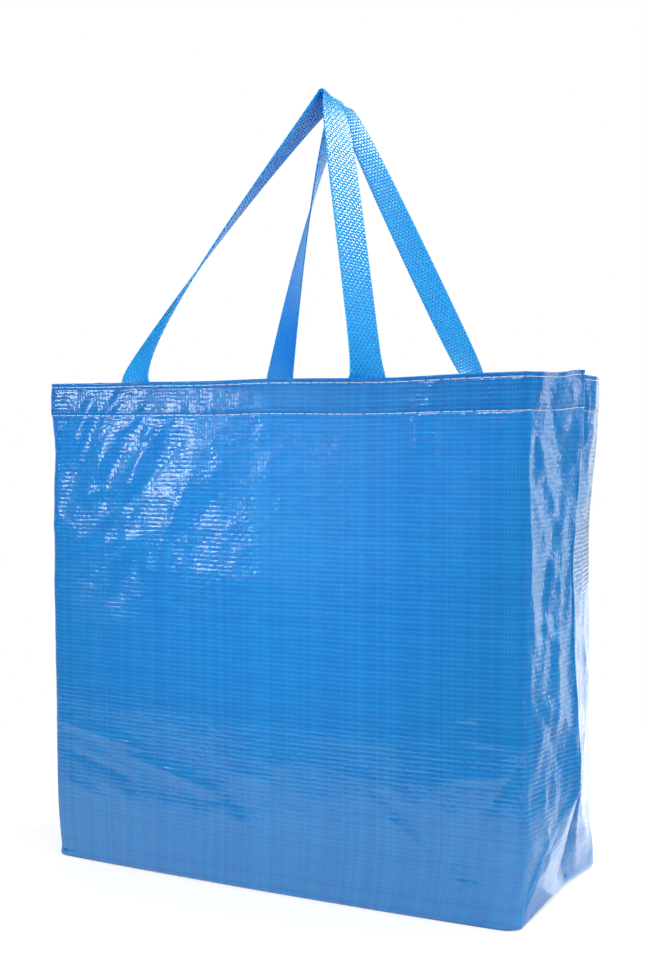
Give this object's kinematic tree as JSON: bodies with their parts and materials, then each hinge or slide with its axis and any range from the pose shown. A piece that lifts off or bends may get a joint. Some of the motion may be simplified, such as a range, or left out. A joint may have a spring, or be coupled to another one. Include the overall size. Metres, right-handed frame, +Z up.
{
  "type": "woven shopping bag",
  "caption": "Large open-topped shopping bag of laminated woven sheet with a boxed bottom, gusset sides, a stitched hem and long flat webbing handles standing up to a fold.",
  "frame": {"origin": "on the floor, under the middle of the whole object", "axes": "+Z up out of the mouth, front panel towards -Y, gusset sides towards +X and -X"},
  "size_m": [0.504, 0.211, 0.7144],
  "materials": {
    "sheet": "glossy film over a flat tape weave",
    "webbing": "slightly shiny woven webbing"
  },
  "bodies": {
    "root": {"bag_body": "sheet", "handle_front": "webbing", "handle_back": "webbing"}
  },
  "joints": []
}
